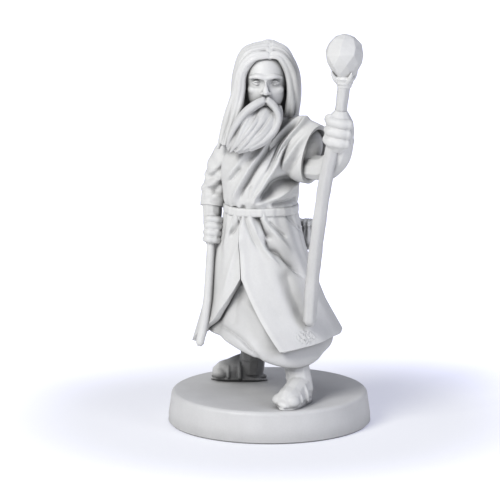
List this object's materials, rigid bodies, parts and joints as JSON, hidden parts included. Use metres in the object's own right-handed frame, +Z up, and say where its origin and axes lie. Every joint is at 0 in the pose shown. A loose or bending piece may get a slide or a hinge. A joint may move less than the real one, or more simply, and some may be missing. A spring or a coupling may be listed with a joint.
{
  "type": "miniature figure",
  "caption": "Tabletop game miniature: a robed, bearded staff bearer of pale grey plastic, plugged by foot pegs into a plain round base.",
  "frame": {"origin": "centre of the base's underside, on the table", "axes": "+Z up, -Y the way the face looks, +X towards the figure's left hand, which holds the staff"},
  "size_m": [0.0204, 0.0202, 0.041],
  "materials": {
    "base_plastic": "satin moulded plastic, unpainted",
    "figure_plastic": "satin moulded plastic, unpainted"
  },
  "bodies": {
    "base": {"base_disc": "base_plastic"},
    "figure": {"front_shoe": "figure_plastic", "rear_shoe": "figure_plastic", "under_robe": "figure_plastic", "robe_skirt": "figure_plastic", "belt": "figure_plastic", "torso": "figure_plastic", "left_sleeve": "figure_plastic", "left_hand": "figure_plastic", "right_sleeve": "figure_plastic", "right_hand": "figure_plastic", "hand_rod": "figure_plastic", "head": "figure_plastic", "hair": "figure_plastic", "beard": "figure_plastic", "staff_lower": "figure_plastic", "staff_upper": "figure_plastic", "staff_claw": "figure_plastic", "staff_crystal": "figure_plastic", "hip_pouch": "figure_plastic"}
  },
  "joints": [
    {"name": "pull_off_base", "type": "slide", "parent": "base", "child": "figure", "axis": [0, 0, 1], "range_m": [0, 0.003]}
  ]
}
